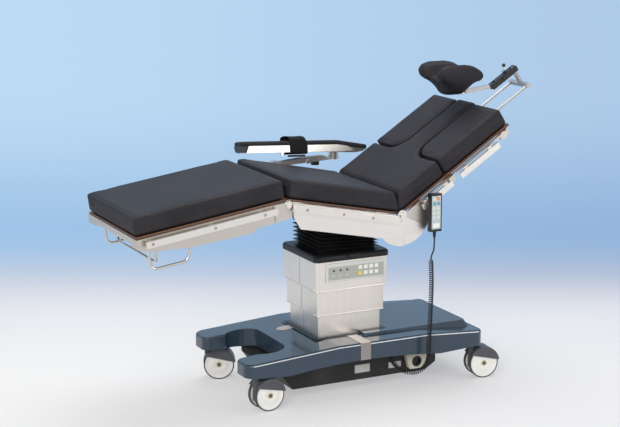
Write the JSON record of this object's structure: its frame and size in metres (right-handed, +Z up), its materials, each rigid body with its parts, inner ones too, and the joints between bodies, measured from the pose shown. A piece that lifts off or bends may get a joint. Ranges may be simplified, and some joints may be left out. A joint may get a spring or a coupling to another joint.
{
  "type": "operating table",
  "caption": "Mobile operating table on a telescopic column with jointed leg, seat and back sections, winged headrest, arm board, side rails, wired handset and twin-wheel castors.",
  "frame": {"origin": "on the floor, under the lift column's axis", "axes": "+X to the head end, +Y to the arm-board side, +Z up from the floor"},
  "size_m": [1.8521, 0.7642, 1.2751],
  "materials": {
    "base_gloss": "dark slate blue-grey gloss moulding",
    "steel": "brushed stainless steel",
    "chassis": "black powder coat",
    "tub": "matt black moulding",
    "socket": "pale matt moulding round a black socket",
    "black_rubber": "black rubber",
    "steel_dark": "machined steel",
    "black_moulding": "satin black moulding",
    "panel": "silver plate with a grey-green membrane and coloured keys",
    "board": "dark brown laminate edge",
    "vinyl": "charcoal satin vinyl",
    "black_metal": "black anodised",
    "strap": "black webbing",
    "handset": "dark grey shell, grey membrane, coloured keys",
    "cord": "black cord",
    "hood": "dark grey moulding",
    "wheel": "white disc with a thin dark tyre"
  },
  "bodies": {
    "base": {"base_cover_foot": "base_gloss", "base_cover_head": "base_gloss", "base_strip": "steel", "chassis_frame": "chassis", "base_tub": "tub", "power_socket": "socket", "column_seal": "black_rubber", "column_cover_lower": "steel", "lift_guide_outer": "steel_dark", "cord_curly": "cord"},
    "middle_cover": {"column_cover_middle": "steel"},
    "lift_head": {"column_cover_upper": "steel", "column_cap": "black_moulding", "control_panel": "panel", "lift_guide_inner": "steel_dark", "bellows_lower": "black_rubber"},
    "cradle": {"tilt_cradle": "steel_dark", "bellows_upper": "black_rubber"},
    "seat": {"seat_frame": "steel", "seat_board": "board", "seat_cushion": "vinyl", "seat_rails": "steel", "seat_covers": "steel"},
    "fan": {"hinge_fan": "steel"},
    "leg": {"leg_frame": "steel", "leg_board": "board", "leg_cushion": "vinyl", "leg_rails": "steel", "leg_handles": "steel"},
    "back": {"back_frame": "steel", "back_board": "board", "back_cushion": "vinyl", "shoulder_cushion_near": "vinyl", "shoulder_cushion_far": "vinyl", "back_rails": "steel"},
    "head_fork": {"head_rods": "steel"},
    "head_upper": {"head_link_upper": "black_metal"},
    "head_lower": {"head_link_lower": "steel"},
    "head_release": {"head_lever": "black_metal"},
    "headrest": {"head_pad": "vinyl"},
    "arm_mount": {"arm_clamp": "steel", "arm_support": "steel"},
    "arm_board": {"arm_frame": "steel", "arm_pad": "vinyl", "arm_strap": "strap"},
    "arm_lock": {"arm_knob": "black_moulding"},
    "handset": {"handset_body": "handset", "cord_lead": "cord"},
    "castor_foot_near": {"castor_foot_near": "hood"},
    "wheel_foot_near_outer": {"wheel_foot_near_outer": "wheel"},
    "wheel_foot_near_inner": {"wheel_foot_near_inner": "wheel"},
    "castor_foot_far": {"castor_foot_far": "hood"},
    "wheel_foot_far_outer": {"wheel_foot_far_outer": "wheel"},
    "wheel_foot_far_inner": {"wheel_foot_far_inner": "wheel"},
    "castor_head_near": {"castor_head_near": "hood"},
    "wheel_head_near_outer": {"wheel_head_near_outer": "wheel"},
    "wheel_head_near_inner": {"wheel_head_near_inner": "wheel"},
    "castor_head_far": {"castor_head_far": "hood"},
    "wheel_head_far_outer": {"wheel_head_far_outer": "wheel"},
    "wheel_head_far_inner": {"wheel_head_far_inner": "wheel"}
  },
  "joints": [
    {"name": "lift", "type": "slide", "parent": "base", "child": "lift_head", "axis": [0, 0, 1], "range_m": [-0.17, 0.015], "deforming": ["cord_curly"]},
    {"name": "middle_cover_slide", "type": "slide", "parent": "base", "child": "middle_cover", "axis": [0, 0, 1], "range_m": [-0.078, 0.008]},
    {"name": "trendelenburg", "type": "hinge", "parent": "lift_head", "child": "cradle", "pos_m": [0, 0, 0.64], "axis": [0, -1, 0], "range_deg": [-18.46, 41.54], "deforming": ["bellows_lower"]},
    {"name": "lateral_tilt", "type": "hinge", "parent": "cradle", "child": "seat", "pos_m": [0, 0, 0.64], "axis": [0.9798, 0, -0.2], "range_deg": [-15, 15], "deforming": ["bellows_upper"]},
    {"name": "leg_hinge", "type": "hinge", "parent": "seat", "child": "leg", "pos_m": [-0.3393, 0, 0.8105], "axis": [0, 1, 0], "range_deg": [-50, 19.5]},
    {"name": "back_hinge", "type": "hinge", "parent": "seat", "child": "back", "pos_m": [0.15633, 0, 0.7236], "axis": [0, 1, 0], "range_deg": [-15, 74.4]},
    {"name": "fan_hinge", "type": "hinge", "parent": "seat", "child": "fan", "pos_m": [0.15633, 0, 0.7236], "axis": [0, 1, 0], "range_deg": [-7.6, 37.3]},
    {"name": "head_slide", "type": "slide", "parent": "back", "child": "head_fork", "axis": [0.8406, 0, 0.5417], "range_m": [0, 0.12]},
    {"name": "head_link_upper_hinge", "type": "hinge", "parent": "head_fork", "child": "head_upper", "pos_m": [0.84048, 0, 1.23112], "axis": [0, 1, 0], "range_deg": [-3, 45]},
    {"name": "head_link_lower_hinge", "type": "hinge", "parent": "head_upper", "child": "head_lower", "pos_m": [0.74129, 0, 1.1672], "axis": [0, 1, 0], "range_deg": [-3, 60]},
    {"name": "head_pad_tilt", "type": "hinge", "parent": "head_lower", "child": "headrest", "pos_m": [0.61027, 0, 1.15111], "axis": [0, 1, 0], "range_deg": [-5, 30]},
    {"name": "head_lever_hinge", "type": "hinge", "parent": "head_upper", "child": "head_release", "pos_m": [0.79488, 0, 1.22434], "axis": [0, 1, 0], "range_deg": [-20, 20]},
    {"name": "arm_clamp_slide", "type": "slide", "parent": "seat", "child": "arm_mount", "axis": [0.9798, 0, -0.2], "range_m": [-0.1, 0.1]},
    {"name": "arm_swivel", "type": "hinge", "parent": "arm_mount", "child": "arm_board", "pos_m": [0.198, 0.4, 0.85], "axis": [0, 0, -1], "range_deg": [0, 90]},
    {"name": "arm_knob_turn", "type": "hinge", "parent": "arm_mount", "child": "arm_lock", "pos_m": [0.1, 0.3797, 0.83], "axis": [0, 0, 1], "continuous": true},
    {"name": "handset_swing", "type": "hinge", "parent": "back", "child": "handset", "pos_m": [0.28295, 0, 0.79664], "axis": [0, 1, 0], "range_deg": [-35, 35], "deforming": ["cord_lead"]},
    {"name": "swivel_foot_near", "type": "hinge", "parent": "base", "child": "castor_foot_near", "pos_m": [-0.465, -0.238, 0.15], "axis": [0, 0, 1], "continuous": true},
    {"name": "roll_foot_near_outer", "type": "hinge", "parent": "castor_foot_near", "child": "wheel_foot_near_outer", "pos_m": [-0.4202, -0.23377, 0.0625], "axis": [-0.0941, 0.9956, 0], "continuous": true},
    {"name": "roll_foot_near_inner", "type": "hinge", "parent": "castor_foot_near", "child": "wheel_foot_near_inner", "pos_m": [-0.4202, -0.23377, 0.0625], "axis": [-0.0941, 0.9956, 0], "continuous": true},
    {"name": "swivel_foot_far", "type": "hinge", "parent": "base", "child": "castor_foot_far", "pos_m": [-0.465, 0.238, 0.15], "axis": [0, 0, 1], "continuous": true},
    {"name": "roll_foot_far_outer", "type": "hinge", "parent": "castor_foot_far", "child": "wheel_foot_far_outer", "pos_m": [-0.42316, 0.22143, 0.0625], "axis": [0.3681, 0.9298, 0], "continuous": true},
    {"name": "roll_foot_far_inner", "type": "hinge", "parent": "castor_foot_far", "child": "wheel_foot_far_inner", "pos_m": [-0.42316, 0.22143, 0.0625], "axis": [0.3681, 0.9298, 0], "continuous": true},
    {"name": "swivel_head_near", "type": "hinge", "parent": "base", "child": "castor_head_near", "pos_m": [0.51, -0.238, 0.15], "axis": [0, 0, 1], "continuous": true},
    {"name": "roll_head_near_outer", "type": "hinge", "parent": "castor_head_near", "child": "wheel_head_near_outer", "pos_m": [0.5547, -0.24317, 0.0625], "axis": [0.1149, 0.9934, 0], "continuous": true},
    {"name": "roll_head_near_inner", "type": "hinge", "parent": "castor_head_near", "child": "wheel_head_near_inner", "pos_m": [0.5547, -0.24317, 0.0625], "axis": [0.1149, 0.9934, 0], "continuous": true},
    {"name": "swivel_head_far", "type": "hinge", "parent": "base", "child": "castor_head_far", "pos_m": [0.51, 0.238, 0.15], "axis": [0, 0, 1], "continuous": true},
    {"name": "roll_head_far_outer", "type": "hinge", "parent": "castor_head_far", "child": "wheel_head_far_outer", "pos_m": [0.55366, 0.24889, 0.0625], "axis": [-0.2419, 0.9703, 0], "continuous": true},
    {"name": "roll_head_far_inner", "type": "hinge", "parent": "castor_head_far", "child": "wheel_head_far_inner", "pos_m": [0.55366, 0.24889, 0.0625], "axis": [-0.2419, 0.9703, 0], "continuous": true}
  ],
  "couplings": [
    {"joint": "middle_cover_slide", "follows": "lift", "ratio": 0.45},
    {"joint": "fan_hinge", "follows": "back_hinge", "ratio": 0.5}
  ]
}
